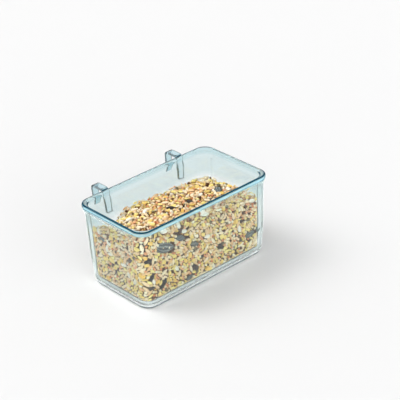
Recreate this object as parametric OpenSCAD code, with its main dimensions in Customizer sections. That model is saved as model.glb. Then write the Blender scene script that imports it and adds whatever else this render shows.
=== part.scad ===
// Seed cup: a clear moulded tub that hangs on a cage bar by two hooks, filled with a parrot seed mix.
// Z is up, X runs along the long side and +Y points at the bar. The origin is on the standing plane,
// under the middle of the whole outline, hooks included.

/* [Cup] */
// Length over the rim
rim_l = 140; // [120:1:170]
// Width over the rim
rim_w = 80; // [70:1:100]
// Height from the foot to the top of the rim
cup_h = 74; // [66:1:88]
// Radius of the rim's corners, seen from above
rim_r = 10.5; // [10:0.5:14]
// How far the centres of the inner corners lie inside those of the outer ones
corner_in = 5; // [4:0.5:6]
// Thickness of the walls
wall_t = 2.2; // [1.8:0.1:2.6]
// Thickness of the floor
floor_t = 2.5; // [1.8:0.1:3.5]
// How far each wall leans out between foot and rim
draft = 2.3; // [1.5:0.1:2.8]
// Radius of the outer edge between foot and wall
base_r = 5; // [4:0.1:5.5]
// Radius of the inner edge between floor and wall
floor_r = 7; // [5:0.5:8]

/* [Foot] */
// Height of the foot ring under the floor
foot_h = 1; // [0.6:0.1:2]
// How far the foot ring reaches in from the wall
foot_w = 8; // [7:0.1:9]

/* [Rim] */
// How far the rim stands out from the wall
lip_out = 1.8; // [1.2:0.1:2.5]
// Thickness of the oval bead round the rim
bead_t = 3; // [2.6:0.1:3.4]
// Height of the bead
bead_h = 4.2; // [3.4:0.1:5]
// Width of the flat on top of the bead
bead_land = 0.4; // [0.2:0.1:0.8]
// Height over which the wall swings out into the bead
flare_h = 6; // [5:0.5:9]

/* [Hooks] */
// Distance between the centres of the two hooks
hook_gap = 80; // [60:1:92]
// Width of a hook's arm
hook_w = 6.5; // [5:0.5:9]
// Width of the tip of a hook's outer leg
hook_tip_w = 5; // [4:0.5:7]
// How far the hooks reach out from the rim
hook_reach = 14.8; // [11:0.1:18]
// Thickness of arm and outer leg
hook_t = 2.2; // [1.8:0.1:2.8]
// Length of the outer leg, from the arm's top to its tip
hook_drop = 21.5; // [17:0.5:26]
// How far the arm's top stands above the rim
hook_rise = 0.8; // [0.6:0.1:1.2]
// How far the pad on the wall stands out past the rim
pad_proud = 0.8; // [0.6:0.1:1.2]
// Radius where the arm's underside meets leg and pad
throat_r = 1.4; // [1:0.1:2]

/* [Seed bed] */
// Height of the packed seed above the standing plane, at the middle of the cup
fill_h = 57; // [44:0.1:60]
// How much the seed falls from the middle to the right-hand end
fall_l = 5.9; // [0:0.1:7]
// How much the seed falls from the middle to the hook side
fall_w = 5.5; // [0:0.1:6]
// How much higher the front left corner is heaped
heap_h = 3.2; // [0:0.1:4]
// Depth of the hollow that is eaten out by the left hook
dip_h = 13; // [0:0.5:16]
// Radius of that hollow
dip_r = 13; // [8:0.5:18]
// Clearance between the packed seed and the cup
bed_gap = 0.3; // [0.2:0.05:0.5]
// How far the bed's face is drawn in at its deepest, between the grains that touch the wall
lump_in = 1.6; // [0:0.1:2]

/* [Grains] */
// Diameter of a grain of millet
millet_d = 2.2; // [1.8:0.1:2.6]
// Diameter of a grain of hemp
hemp_d = 3.4; // [2.8:0.1:3.8]
// Length of a canary seed
canary_l = 5; // [4:0.1:5.5]
// Diameter of a canary seed
canary_d = 1.9; // [1.6:0.1:2.2]
// Length of an oat groat
oat_l = 6.2; // [5:0.1:6.5]
// Diameter of an oat groat
oat_d = 2.4; // [2:0.1:2.8]
// Width of a buckwheat grain across its three corners
buckwheat_w = 3.6; // [3:0.1:4]
// Length of a buckwheat grain
buckwheat_l = 5; // [4:0.1:5.5]
// Size of a bit of cracked corn
corn_w = 4; // [3:0.1:4.6]
// Length of a safflower seed
safflower_l = 7.2; // [6:0.1:8]
// Diameter of a safflower seed
safflower_d = 4; // [3.4:0.1:4.4]
// Length of a striped sunflower seed
striped_l = 12; // [10:0.5:13]
// Width of a striped sunflower seed
striped_w = 6.2; // [5:0.1:7]
// Thickness of a striped sunflower seed
striped_t = 3.8; // [3:0.1:4.5]
// Length of a black sunflower seed
black_l = 10; // [8:0.5:11]
// Width of a black sunflower seed
black_w = 5; // [4:0.1:6]
// Thickness of a black sunflower seed
black_t = 3.6; // [3:0.1:4.2]
// Number of small grains thrown onto the bed, of which those that find room stay
grains_thrown = 900; // [200:50:1500]
// Least gap between two grains, seen from above
grain_apart = 0.6; // [0.5:0.05:1.5]
// Gap between a grain and the bed
grain_gap = 0.25; // [0.2:0.05:0.4]

/* [Hidden] */

clear_blue = [0.72, 0.88, 0.90, 0.45];
round_fn = 64;
grain_fn = 24;

// Turns of a rounding, in steps
edge_steps = 4;
flare_steps = 6;
floor_steps = 6;
bead_steps = 8;

// How far a cut runs past the face that it opens
overrun = 1;

// The tub's middle in Y: the hooks take the outline past it on one side only
cup_y = -hook_reach / 2;

// Half lengths of the rectangle on whose corners the rounded corners are centred
core_l = rim_l / 2 - rim_r;
core_w = rim_w / 2 - rim_r;

floor_z = foot_h + floor_t;

// The bead's two sides are half ovals, turned down past level by the angle at which the wall joins them
neck_turn = 50;
bead_r = (bead_t - bead_land) / 2;
bead_tall = bead_h / 2 / bead_r;
bead_z = cup_h - bead_h / 2;
bead_out = rim_r - bead_r;
bead_in = rim_r - bead_t + bead_r;
neck_z = bead_z - bead_h / 2 * sin(neck_turn);
flare_z = neck_z - flare_h;

// Inner face of the wall at height z, as a distance from the outer corners' centres, without the flare
function plain_in(z) = rim_r - lip_out - draft * (1 - z / cup_h) - wall_t;

// Share of the flare that is done at height z: 0 on the plain wall, 1 at the bead's neck
function flare_share(z) = (1 - cos(180 * min(1, max(0, (z - flare_z) / flare_h)))) / 2;
function blend(a, b, share) = a + (b - a) * share;
function wall_out(z) = blend(plain_in(z) + wall_t, bead_out + bead_r * cos(neck_turn), flare_share(z));
function wall_in(z) = blend(plain_in(z), bead_in - bead_r * cos(neck_turn), flare_share(z));

// Points of a rounding with radius r round the centre c, from angle a0 to a1. Tall stretches it upright.
function arc(c, r, a0, a1, steps, tall = 1) = [for (i = [0:steps]) let (a = a0 + (a1 - a0) * i / steps)
    [c[0] + r * cos(a), c[1] + tall * r * sin(a)]];

// Heights at which the flare's curve is drawn, from the plain wall up to the bead's neck
flare_zs = [for (i = [0:flare_steps - 1]) flare_z + flare_h * i / flare_steps];
function bead_face() = arc([bead_out, bead_z], bead_r, -neck_turn, 90, bead_steps, bead_tall);

// Faces of the tub, from the lowest point to the highest, as distances from the outer corners' centres
function outer_face() = concat(
    arc([wall_out(base_r) - base_r, base_r], base_r, -90, 0, floor_steps),
    [for (z = flare_zs) [wall_out(z), z]],
    bead_face());
function inner_face() = concat(
    arc([plain_in(floor_z + floor_r) - floor_r, floor_z + floor_r], floor_r, -90, 0, floor_steps),
    [for (z = flare_zs) [wall_in(z), z]],
    arc([bead_in, bead_z], bead_r, 180 + neck_turn, 90, bead_steps, bead_tall),
    [[bead_in, cup_h + overrun]]);
function foot_face() = [[wall_out(0) - foot_w, -overrun], [wall_out(0) - foot_w, 0],
                        [wall_out(0) - foot_w - foot_h / 2, foot_h]];

// Solid inside a face that is carried round the cup. The corner centres move in by a shift and the distances
// grow by it, so that the sides stay where they are and the corners get rounder.
module carried(face, shift) {
    l = core_l - shift;
    w = core_w - shift;
    low = face[0][1];
    high = face[len(face) - 1][1];
    section = concat([[0, low]], [for (p = face) [p[0] + shift, p[1]]], [[0, high]]);
    translate([0, cup_y, 0]) {
        for (side = [0, 180]) rotate([0, 0, side]) {
            translate([l, 0, 0]) straight_run(section, 2 * w);
            rotate([0, 0, 90]) translate([w, 0, 0]) straight_run(section, 2 * l);
            translate([l, w, 0]) corner_run(section);
            translate([-l, w, 0]) rotate([0, 0, 90]) corner_run(section);
        }
        translate([0, 0, low])
            linear_extrude(height = high - low)
                square([2 * l, 2 * w], center = true);
    }
}

// One straight stretch of a section, as long as the gap between two corner centres
module straight_run(section, len) {
    rotate([90, 0, 0])
        linear_extrude(height = len, center = true)
            polygon(section);
}

// One rounded corner of a section
module corner_run(section) {
    rotate_extrude(angle = 90, $fn = round_fn)
        polygon(section);
}

module cup() {
    color(clear_blue)
        difference() {
            carried(outer_face(), 0);
            carried(inner_face(), corner_in);
            carried(foot_face(), corner_in);
        }
}

// Hook, seen along the cup: distances run outwards from the corner centres, like the wall's
hook_top = cup_h + hook_rise;
hook_tip_z = hook_top - hook_drop;
hook_out = rim_r + hook_reach;
leg_in = hook_out - hook_t;
arm_under = hook_top - hook_t;
pad_face = rim_r + pad_proud;
pad_edge = hook_t / 3;
bend_r = throat_r + hook_t;
bend_z = arm_under - throat_r;

// Steps of the bead's face that the hook sits on, and the angle at which its bend starts above them
seat_steps = 7;
bend_start = 125;

// The wall's outer face from the pad's foot to near the bead's top, which the hook sits on
function wall_seat() = concat(
    [[wall_out(hook_tip_z), hook_tip_z]],
    [for (z = flare_zs) [wall_out(z), z]],
    [for (i = [0:seat_steps]) bead_face()[i]]);

module hook_side_view() {
    polygon(concat(
        wall_seat(),
        arc([pad_face + throat_r, bend_z], bend_r, bend_start, 90, edge_steps),
        arc([leg_in - throat_r, bend_z], bend_r, 90, 0, edge_steps),
        arc([hook_out - hook_t / 2, hook_tip_z + hook_t / 2], hook_t / 2, 0, -180, 2 * edge_steps),
        arc([leg_in - throat_r, bend_z], throat_r, 0, 90, edge_steps),
        arc([pad_face + throat_r, bend_z], throat_r, 90, 180, edge_steps),
        [[pad_face, hook_tip_z + pad_edge], [pad_face - pad_edge, hook_tip_z]]));
}

// Hook, seen from behind the cup: straight on the inner side, drawn in towards the tip on the outer one
module hook_back_view() {
    polygon([[hook_w / 2, hook_tip_z], [hook_w / 2, hook_top],
             [-hook_w / 2, hook_top], [-hook_w / 2, neck_z],
             [hook_w / 2 - hook_tip_w, hook_tip_z]]);
}

// A whole hook at the middle of the cup's length, on the +Y wall
module hook() {
    translate([0, cup_y, 0])
        intersection() {
            translate([-hook_w / 2, core_w, 0])
                rotate([90, 0, 90])
                    linear_extrude(height = hook_w)
                        hook_side_view();
            translate([0, core_w + hook_out, 0])
                rotate([90, 0, 0])
                    linear_extrude(height = hook_out)
                        hook_back_view();
        }
}

module hook_left() {
    color(clear_blue)
        translate([-hook_gap / 2, 0, 0]) hook();
}

module hook_right() {
    color(clear_blue)
        translate([hook_gap / 2, 0, 0])
            mirror([1, 0, 0]) hook();
}

// Half length and half width of the space inside the cup at height z, below the flare
function inner_l(z) = core_l + plain_in(z);
function inner_w(z) = core_w + plain_in(z);

// Where the hollow lies, as shares of the half length and half width at the fill height
dip_share = [-0.7, 1.03];
// How much both ends of the bed fall away, as a share of the fill height
ends_share = 0.028;

// Height of the packed seed over a point of the cup, measured from the cup's middle
function bed_z(x, y) =
    let (u = x / inner_l(fill_h), v = y / inner_w(fill_h),
         du = x - dip_share[0] * inner_l(fill_h), dv = y - dip_share[1] * inner_w(fill_h),
         dip = exp(-(du * du + dv * dv) / (dip_r * dip_r)))
    fill_h - fall_l * u - fall_w * v + heap_h * u * v - ends_share * fill_h * u * u - dip_h * dip;

// Directions that an outline of the bed takes in one corner, and points along each side
corner_steps = 5;
side_steps = [14, 8];

// Rounded rectangle that stands a gap out from the outer corners' centres, anticlockwise, with the inner
// corners' roundness and points along its sides
function side_points(a, b, steps) = [for (i = [1:steps - 1]) a + (b - a) * i / steps];
function outline(gap_out) =
    let (l = core_l - corner_in, w = core_w - corner_in, d = gap_out + corner_in,
         c0 = arc([l, w], d, 0, 90, corner_steps), c1 = arc([-l, w], d, 90, 180, corner_steps),
         c2 = arc([-l, -w], d, 180, 270, corner_steps), c3 = arc([l, -w], d, 270, 360, corner_steps))
    concat(c0, side_points([l, w + d], [-l, w + d], side_steps[0]),
           c1, side_points([-l - d, w], [-l - d, -w], side_steps[1]),
           c2, side_points([-l, -w - d], [l, -w - d], side_steps[0]),
           c3, side_points([l + d, -w], [l + d, w], side_steps[1]));

// Skin over a stack of rings, all with the same number of points and anticlockwise seen from the last one.
// Each end is closed by a fan round the middle of its ring.
function middle(ring) = [for (p = ring) 1 / len(ring)] * ring;
module loft(rings) {
    n = len(rings[0]);
    top = len(rings) - 1;
    first_mid = len(rings) * n;
    polyhedron(
        points = concat([for (ring = rings) for (p = ring) p], [middle(rings[0]), middle(rings[top])]),
        faces = concat(
            [for (i = [0:n - 1]) [first_mid, i, (i + 1) % n]],
            [for (r = [0:top - 1]) for (i = [0:n - 1]) let (j = (i + 1) % n)
                each [[r * n + i, (r + 1) * n + i, (r + 1) * n + j],
                      [r * n + i, (r + 1) * n + j, r * n + j]]],
            [for (i = [0:n - 1]) [first_mid + 1, top * n + (i + 1) % n, top * n + i]]));
}

// Outline of the bed where its top would meet the wall if it were flat
bed_d = plain_in(fill_h) - bed_gap;
bed_outline = outline(bed_d);

// Ring of the bed's top, drawn in to a share of that outline
bed_ring_share = [0.94, 0.86, 0.76, 0.64, 0.5, 0.35, 0.2, 0.06];
function bed_ring(share) = [for (p = bed_outline) let (q = share * p) [q[0], q[1], bed_z(q[0], q[1])]];

// A number from 0 to 1 that looks random but is the same each time
hash_share = [127.13, 311.71, 74.77, 43758.5453];
function chance(i, j, k) =
    let (s = sin(i * hash_share[0] + j * hash_share[1] + k * hash_share[2]) * hash_share[3])
    s - floor(s);

// Face of the bed at the wall: each point of the outline moved to where the leaning wall is at height z
function clamp(x, most) = min(most, max(-most, x));
function at_wall(p, z, drawn_in) =
    let (centre = [clamp(p[0], core_l - corner_in), clamp(p[1], core_w - corner_in)],
         q = centre + (p - centre) * (plain_in(z) + corner_in - bed_gap - drawn_in) / (bed_d + corner_in))
    [q[0], q[1], z];
function bed_edge() = [for (p = bed_outline) at_wall(p, bed_z(p[0], p[1]), 0)];

// Rows of lumps up the bed's face, as shares of the height from the fillet to the edge
lump_row_share = [0.14, 0.28, 0.42, 0.56, 0.7, 0.84];
function lump_row(share, low, row) = [for (i = [0:len(bed_outline) - 1])
    let (p = bed_outline[i])
    at_wall(p, blend(low, bed_z(p[0], p[1]), share), lump_in * chance(i, row, 7))];

module seed_bed() {
    low_z = floor_z + bed_gap;
    side_z = floor_z + floor_r;
    color([0.86, 0.76, 0.56])
        translate([0, cup_y, 0])
            loft(concat(
                [[for (p = outline(plain_in(side_z) - floor_r)) [p[0], p[1], low_z]]],
                [[for (p = bed_outline) at_wall(p, side_z, 0)]],
                [for (row = [0:len(lump_row_share) - 1]) lump_row(lump_row_share[row], side_z, row)],
                [bed_edge()],
                [for (share = bed_ring_share) bed_ring(share)]));
}

// Upright direction of the bed's surface, from its height a little further along X and Y
function bed_up(x, y) =
    let (n = cross([millet_d, 0, bed_z(x + millet_d, y) - bed_z(x, y)],
                   [0, millet_d, bed_z(x, y + millet_d) - bed_z(x, y)]))
    n / norm(n);

// Lays a grain that is drawn along X with its belly on z = 0 on the bed, turned by an angle
module lay(x, y, turn) {
    up = bed_up(x, y);
    across_raw = cross(up, [cos(turn), sin(turn), 0]);
    across = across_raw / norm(across_raw);
    along = cross(across, up);
    at = [x, y + cup_y, bed_z(x, y)] + up * grain_gap;
    multmatrix([[along[0], across[0], up[0], at[0]],
                [along[1], across[1], up[1], at[1]],
                [along[2], across[2], up[2], at[2]],
                [0, 0, 0, 1]])
        children();
}

// Places of the large seeds: shares of the field's half length and half width, and the angle they lie at
striped_share = [[-0.7, -0.3, 20], [-0.33, 0.35, 140], [0.14, 0.05, 30], [0.45, -0.5, 115],
                 [0.6, 0.55, 10], [-0.08, -0.75, 165]];
black_share = [[-0.42, -0.6, 100], [-0.85, 0.3, 60], [0.3, 0.72, 55], [0.8, -0.15, 150]];
safflower_share = [[-0.48, -0.05, 45], [-0.12, -0.3, 120], [0.22, -0.8, 15], [0.46, 0.1, 160],
                   [0.02, 0.6, 100], [-0.76, -0.7, 70]];

// Kinds of grain with their length and width, the small kinds first
kinds = [["white_millet", millet_d, millet_d], ["red_millet", millet_d, millet_d],
         ["canary_seed", canary_l, canary_d], ["oat_groats", oat_l, oat_d], ["hemp_seed", hemp_d, hemp_d],
         ["buckwheat", buckwheat_l, buckwheat_w], ["cracked_corn", corn_w, corn_w],
         ["safflower_seed", safflower_l, safflower_d], ["striped_sunflower_seed", striped_l, striped_w],
         ["black_sunflower_seed", black_l, black_w]];
// Up to which draw each small kind comes up
kind_share = [0.34, 0.5, 0.67, 0.79, 0.86, 0.93, 1];
function kind_drawn(draw) = kinds[len([for (s = kind_share) if (draw >= s) 1])];
function kind_named(name) = kinds[search([name], kinds)[0]];

// Half length and half width of the field in which grains lie, clear of the walls by most of an oat
field_margin = 0.75 * oat_l;
field_l = inner_l(fill_h) - field_margin;
field_w = inner_w(fill_h) - field_margin;

// A grain is [x, y, angle, name, half length, half width]
function grain(x, y, turn, kind) = [x, y, turn, kind[0], kind[1] / 2, kind[2] / 2];
function placed(shares, name) = let (kind = kind_named(name))
    [for (s = shares) grain(s[0] * field_l, s[1] * field_w, s[2], kind)];
function thrown(count) = [for (i = [1:count])
    grain((2 * chance(i, 1, 0) - 1) * field_l, (2 * chance(i, 2, 0) - 1) * field_w,
          360 * chance(i, 3, 0), kind_drawn(chance(i, 4, 0)))];

// One grain of each small kind along each side of the field, so that each kind reaches all four sides
edge_reach_share = 0.86;
function edge_grains() =
    let (last = len(kind_share) - 1)
    [for (side = [0:3]) for (i = [0:last])
        let (out = side < 2 ? 1 : -1, along = edge_reach_share * (2 * i / last - 1),
             turn = 360 * chance(side, i, 5))
        side % 2 == 0 ? grain(out * field_l, along * field_w, turn, kinds[i])
                      : grain(along * field_l, out * field_w, turn, kinds[i])];

// Three dots along a grain, which stand for it where two grains come close
function dots(g) = [for (s = [-1, 0, 1]) [g[0], g[1]] + s * (g[4] - g[5]) * [cos(g[2]), sin(g[2])]];
function dots_meet(g, h) = min([for (p = dots(g)) for (q = dots(h)) norm(p - q)]) < g[5] + h[5] + grain_apart;
function meets(g, h) = norm([g[0] - h[0], g[1] - h[1]]) < g[4] + h[4] + grain_apart && dots_meet(g, h);
function is_clear(g, lying) = len([for (h = lying) if (meets(g, h)) 1]) == 0;

// Grains come to lie one after another, and one that finds no room is left out
function settle(grains, i, lying) = i == len(grains) ? lying
    : settle(grains, i + 1, is_clear(grains[i], lying) ? concat(lying, [grains[i]]) : lying);
function all_grains() = settle(concat(edge_grains(), thrown(grains_thrown)), 0,
    concat(placed(striped_share, "striped_sunflower_seed"), placed(black_share, "black_sunflower_seed"),
           placed(safflower_share, "safflower_seed")));

// Lays the drawn grain on the bed wherever its kind came to lie
module strew(name) {
    for (g = all_grains())
        if (g[3] == name)
            lay(g[0], g[1], g[2]) children();
}

// Round grain with its belly on z = 0
module ball(d) {
    translate([0, 0, d / 2]) sphere(d = d, $fn = grain_fn);
}

// Grain or seed along X: an oval section whose size follows a sine along the length.
// blunt_share below 1 moves the widest place towards one end, as on a drop.
end_share = 0.06;
module kernel(l, w, t, blunt_share, rings, sides) {
    translate([0, 0, t / 2])
        loft([for (i = [0:rings - 1])
            let (s = end_share + (1 - 2 * end_share) * i / (rings - 1), k = sin(180 * pow(s, blunt_share)))
            [for (j = [0:sides - 1]) let (a = 360 * j / sides)
                [l * (s - 1 / 2), w / 2 * k * cos(a), t / 2 * k * sin(a)]]]);
}

// Three-cornered grain: a tapered triangle, widest before its middle
corner_share = [0.12, 0.85, 1, 0.55, 0.1];
module three_cornered(l, w) {
    n = len(corner_share);
    belly = w / 4;
    translate([0, 0, belly])
        loft([for (i = [0:n - 1])
            [for (j = [0:2]) let (a = 90 + 120 * j)
                [l * (i / (n - 1) - 1 / 2), w / 2 * corner_share[i] * cos(a),
                 w / 2 * corner_share[i] * sin(a)]]]);
}

// Broken bit of a kernel: a lump of three uneven rings, each corner drawn in a little
chip_sides = 6;
chip_share = [0.55, 1, 0.6];
chip_length_share = 0.38;
chip_uneven_share = 0.3;
module chip(w) {
    translate([0, 0, w / 2])
        loft([for (i = [0:2])
            [for (j = [0:chip_sides - 1])
                let (a = 360 * j / chip_sides, k = chip_share[i] * (1 - chip_uneven_share * chance(i, j, 9)))
                [w * (i - 1) * chip_length_share, w / 2 * k * cos(a), w / 2 * k * sin(a)]]]);
}

module white_millet() {
    color([0.95, 0.86, 0.62])
        strew("white_millet") ball(millet_d);
}

module red_millet() {
    color([0.85, 0.42, 0.16])
        strew("red_millet") ball(millet_d);
}

module hemp_seed() {
    color([0.52, 0.52, 0.42])
        strew("hemp_seed") ball(hemp_d);
}

module canary_seed() {
    color([0.88, 0.72, 0.38])
        strew("canary_seed") kernel(canary_l, canary_d, canary_d, 1, 5, 6);
}

module oat_groats() {
    color([0.93, 0.84, 0.66])
        strew("oat_groats") kernel(oat_l, oat_d, oat_d, 0.85, 5, 6);
}

module buckwheat() {
    color([0.42, 0.27, 0.18])
        strew("buckwheat") three_cornered(buckwheat_l, buckwheat_w);
}

module cracked_corn() {
    color([0.96, 0.68, 0.16])
        strew("cracked_corn") chip(corn_w);
}

module safflower_seed() {
    color([0.95, 0.93, 0.86])
        strew("safflower_seed") kernel(safflower_l, safflower_d, safflower_d, 0.75, 7, 8);
}

module striped_sunflower_seed() {
    color([0.33, 0.33, 0.34])
        strew("striped_sunflower_seed") kernel(striped_l, striped_w, striped_t, 0.7, 8, 10);
}

module black_sunflower_seed() {
    color([0.13, 0.12, 0.13])
        strew("black_sunflower_seed") kernel(black_l, black_w, black_t, 0.7, 8, 10);
}

cup();
hook_left();
hook_right();
seed_bed();
white_millet();
red_millet();
canary_seed();
oat_groats();
hemp_seed();
buckwheat();
cracked_corn();
safflower_seed();
striped_sunflower_seed();
black_sunflower_seed();
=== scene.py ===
import math

import bpy
import numpy as np
from mathutils import Matrix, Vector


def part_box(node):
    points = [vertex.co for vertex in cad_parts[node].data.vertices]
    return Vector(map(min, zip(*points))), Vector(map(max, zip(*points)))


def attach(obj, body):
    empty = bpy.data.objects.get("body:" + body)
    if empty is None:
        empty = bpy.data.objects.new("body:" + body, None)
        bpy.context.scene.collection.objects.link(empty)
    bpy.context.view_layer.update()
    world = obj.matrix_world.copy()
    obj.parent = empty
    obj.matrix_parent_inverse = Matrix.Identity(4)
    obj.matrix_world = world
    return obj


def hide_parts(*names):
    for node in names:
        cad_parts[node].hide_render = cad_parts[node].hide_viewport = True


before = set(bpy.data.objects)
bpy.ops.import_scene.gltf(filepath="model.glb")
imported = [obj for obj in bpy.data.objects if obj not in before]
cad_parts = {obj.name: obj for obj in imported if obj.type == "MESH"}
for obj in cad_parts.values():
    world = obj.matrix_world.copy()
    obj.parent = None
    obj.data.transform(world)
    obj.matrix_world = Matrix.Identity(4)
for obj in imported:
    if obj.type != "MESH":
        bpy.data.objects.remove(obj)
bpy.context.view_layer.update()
mm = 0.001


# The camera.
# A long lens that looks down past the cup's front left corner, with a slight roll.
camera_aim = np.array([44.21, 13.29, 36.66]) * mm
camera_turn = math.radians(-40.78)
camera_rise = math.radians(28.67)
camera_roll = math.radians(-3.35)
camera_reach = 1234.35 * mm
sensor_w = 36.0
focal_px = 1456.67
frame_px = 400

back = np.array([math.sin(camera_turn) * math.cos(camera_rise),
                 -math.cos(camera_turn) * math.cos(camera_rise), math.sin(camera_rise)])
level = np.cross(-back, [0, 0, 1])
level /= np.linalg.norm(level)
rise = np.cross(level, -back)
right = math.cos(camera_roll) * level + math.sin(camera_roll) * rise
up = math.cos(camera_roll) * rise - math.sin(camera_roll) * level
eye = camera_aim + back * camera_reach

camera_data = bpy.data.cameras.new("camera")
camera_data.sensor_width = sensor_w
camera_data.lens = sensor_w * focal_px / frame_px
camera_data.clip_start = 0.05
camera = bpy.data.objects.new("camera", camera_data)
camera.matrix_world = Matrix([[right[i], up[i], back[i], eye[i]] for i in range(3)] + [[0, 0, 0, 1]])
bpy.context.collection.objects.link(camera)
bpy.context.scene.camera = camera


# The cup and its two hooks.
# One injection moulding in clear styrene with a faint aqua tint: a leaning, round-cornered tub on a low
# foot ring, whose walls swing out into an oval bead. The hooks grow out of the wall at the back.
cup_low, cup_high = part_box("cup")
cup_y = (cup_low.y + cup_high.y) / 2
cup_h = cup_high.z
rim_r = 10.5 * mm
core_l = (cup_high.x - cup_low.x) / 2 - rim_r
core_w = (cup_high.y - cup_low.y) / 2 - rim_r
corner_in = 5.0 * mm
wall_t = 2.2 * mm
draft = 2.3 * mm
foot_h = 1.0 * mm
foot_w = 8.0 * mm
floor_z = foot_h + 2.5 * mm
base_r = 5.0 * mm
round_h = 25.0 * mm
floor_r = 7.0 * mm
flare_out = 1.8 * mm
bead_t = 3.0 * mm
bead_h = 4.2 * mm
bead_land = 0.4 * mm
bead_r = (bead_t - bead_land) / 2
bead_tall = bead_h / 2 / bead_r
bead_z = cup_h - bead_h / 2
bead_out = rim_r - bead_r
bead_in = rim_r - bead_t + bead_r
neck_turn = 50.0
neck_reach = bead_r * math.cos(math.radians(neck_turn))
neck_z = bead_z - bead_h / 2 * math.sin(math.radians(neck_turn))
flare_h = 6.0 * mm
flare_z = neck_z - flare_h

hook_low, hook_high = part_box("hook_left")
hook_w = hook_high.x - hook_low.x
hook_tip_w = 5.0 * mm
hook_t = 2.2 * mm
hook_bend_r = 2.5 * mm
hook_edge_r = 0.55 * mm
bar_corner_points = 5
most_round = 0.49
pad_proud = 0.8 * mm
pad_sunk = 0.6 * mm


def plain_in(z):
    """Inner face of the wall as a distance from the corner centres: the rim's radius less the flare's reach,
    less the draft that is left above z, less the wall's thickness."""
    return rim_r - flare_out - draft * (1 - z / cup_h) - wall_t


def flare_share(z):
    """Half a cosine wave, from 0 on the plain wall to 1 at the bead's neck."""
    return (1 - np.cos(np.pi * np.clip((z - flare_z) / flare_h, 0, 1))) / 2


def wall_out(z):
    """Outer face of the wall: the plain wall's outer face, moved by the flare's share to the bead's neck."""
    plain = plain_in(z) + wall_t
    return plain + (bead_out + neck_reach - plain) * flare_share(z)


def wall_in(z):
    """Inner face of the wall: the plain wall's inner face, moved by the flare's share to the bead's neck."""
    return plain_in(z) + (bead_in - neck_reach - plain_in(z)) * flare_share(z)


def arc(middle, radius, start, end, steps, tall=1.0):
    """Points of a circle round a middle, from the start to the end angle in degrees: the cosine times the
    radius across, and the sine times the radius up. A tall above 1 makes it an upright ellipse."""
    angle = np.radians(np.linspace(start, end, steps + 1))
    return np.column_stack([middle[0] + radius * np.cos(angle), middle[1] + tall * radius * np.sin(angle)])


def ring_faces(turns, steps):
    """Quads between neighbouring points of a grid of turns by steps, numbered row by row. The last row joins
    the first."""
    rows = np.arange(turns)[:, None]
    cols = np.arange(steps - 1)[None, :]
    here, there = rows * steps + cols, (rows + 1) % turns * steps + cols
    return np.stack([here, there, there + 1, here + 1], axis=-1).reshape(-1, 4)


def new_piece(name, points, faces, material=None):
    """Mesh object at the origin, smooth shaded, from an array of points and a list of faces."""
    mesh = bpy.data.meshes.new(name)
    mesh.from_pydata(points, [], faces)
    mesh.polygons.foreach_set("use_smooth", np.ones(len(mesh.polygons), bool))
    if material:
        mesh.materials.append(material)
    piece = bpy.data.objects.new(name, mesh)
    bpy.context.collection.objects.link(piece)
    return piece


def swept_round(section, corner_steps, shift=0.0):
    """Points of a section of (distance out, height) carried round a rounded rectangle. Each point is a
    corner centre plus the distance along the turning direction: the direction turns a quarter at each
    corner and stays the same along each side. A shift moves the corner centres in and lengthens the
    distance alike, so that the sides stay and the corners are rounder."""
    turn = np.linspace(0, np.pi / 2, corner_steps + 1)
    angle = (np.arange(4)[:, None] * np.pi / 2 + turn).ravel()[:, None]
    side_x = np.repeat([1, -1, -1, 1], corner_steps + 1)[:, None]
    side_y = np.repeat([1, 1, -1, -1], corner_steps + 1)[:, None]
    centre_x, centre_y = side_x * (core_l - shift), side_y * (core_w - shift) + cup_y
    out, height = section[:, 0] + shift, section[:, 1]
    return np.stack([centre_x + out * np.cos(angle), centre_y + out * np.sin(angle),
                     np.broadcast_to(height, (len(angle), len(height)))], axis=-1)


def swept_bar(path, thick, wide, middle_x, corner_r):
    """Points of a round-cornered bar carried along a path of (distance out, height). Each ring stands square
    to the path: its points are the path point, plus the path's normal times half the thickness, plus X
    times half the width, with a quarter circle at each corner."""
    ahead = np.gradient(path, axis=0)
    ahead /= np.linalg.norm(ahead, axis=1)[:, None]
    normal = np.column_stack([-ahead[:, 1], ahead[:, 0]])
    corner = np.linspace(0, np.pi / 2, bar_corner_points)
    angle = (np.arange(4)[:, None] * np.pi / 2 + corner).ravel()
    side_x = np.repeat([1, -1, -1, 1], bar_corner_points)
    side_t = np.repeat([1, 1, -1, -1], bar_corner_points)
    radius = np.minimum(corner_r, most_round * thick)[:, None]
    across = side_x * (wide[:, None] / 2 - radius) + radius * np.cos(angle)
    proud = side_t * (thick[:, None] / 2 - radius) + radius * np.sin(angle)
    reach = path[:, :1] + normal[:, :1] * proud
    height = path[:, 1:] + normal[:, 1:] * proud
    return np.stack([middle_x[:, None] + across, core_w + cup_y + reach, height], axis=-1)


base_steps = 10
fillet_steps = 12
bead_steps = 14
flare_zs = np.linspace(flare_z, neck_z, 17)[:-1]
outer_zs = np.linspace(base_r, flare_z, 22)[1:-1]
inner_zs = np.linspace(floor_z + floor_r, flare_z, 22)[1:-1]
foot = np.array([[wall_out(0) - foot_w - foot_h / 2, foot_h], [wall_out(0) - foot_w, 0]])
outside = np.concatenate([
    arc((wall_out(base_r) - base_r, base_r), base_r, -90, 0, base_steps),
    np.column_stack([wall_out(outer_zs), outer_zs]),
    np.column_stack([wall_out(flare_zs), flare_zs]),
    arc((bead_out, bead_z), bead_r, -neck_turn, 90, bead_steps, bead_tall),
])
inside = np.concatenate([
    arc((bead_in, bead_z), bead_r, 90, 180 + neck_turn, bead_steps, bead_tall),
    np.column_stack([wall_in(flare_zs), flare_zs])[::-1],
    np.column_stack([wall_in(inner_zs), inner_zs])[::-1],
    arc((plain_in(floor_z + floor_r) - floor_r, floor_z + floor_r), floor_r, 0, -90, fillet_steps),
])
section = np.concatenate([foot, outside, inside])
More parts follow.
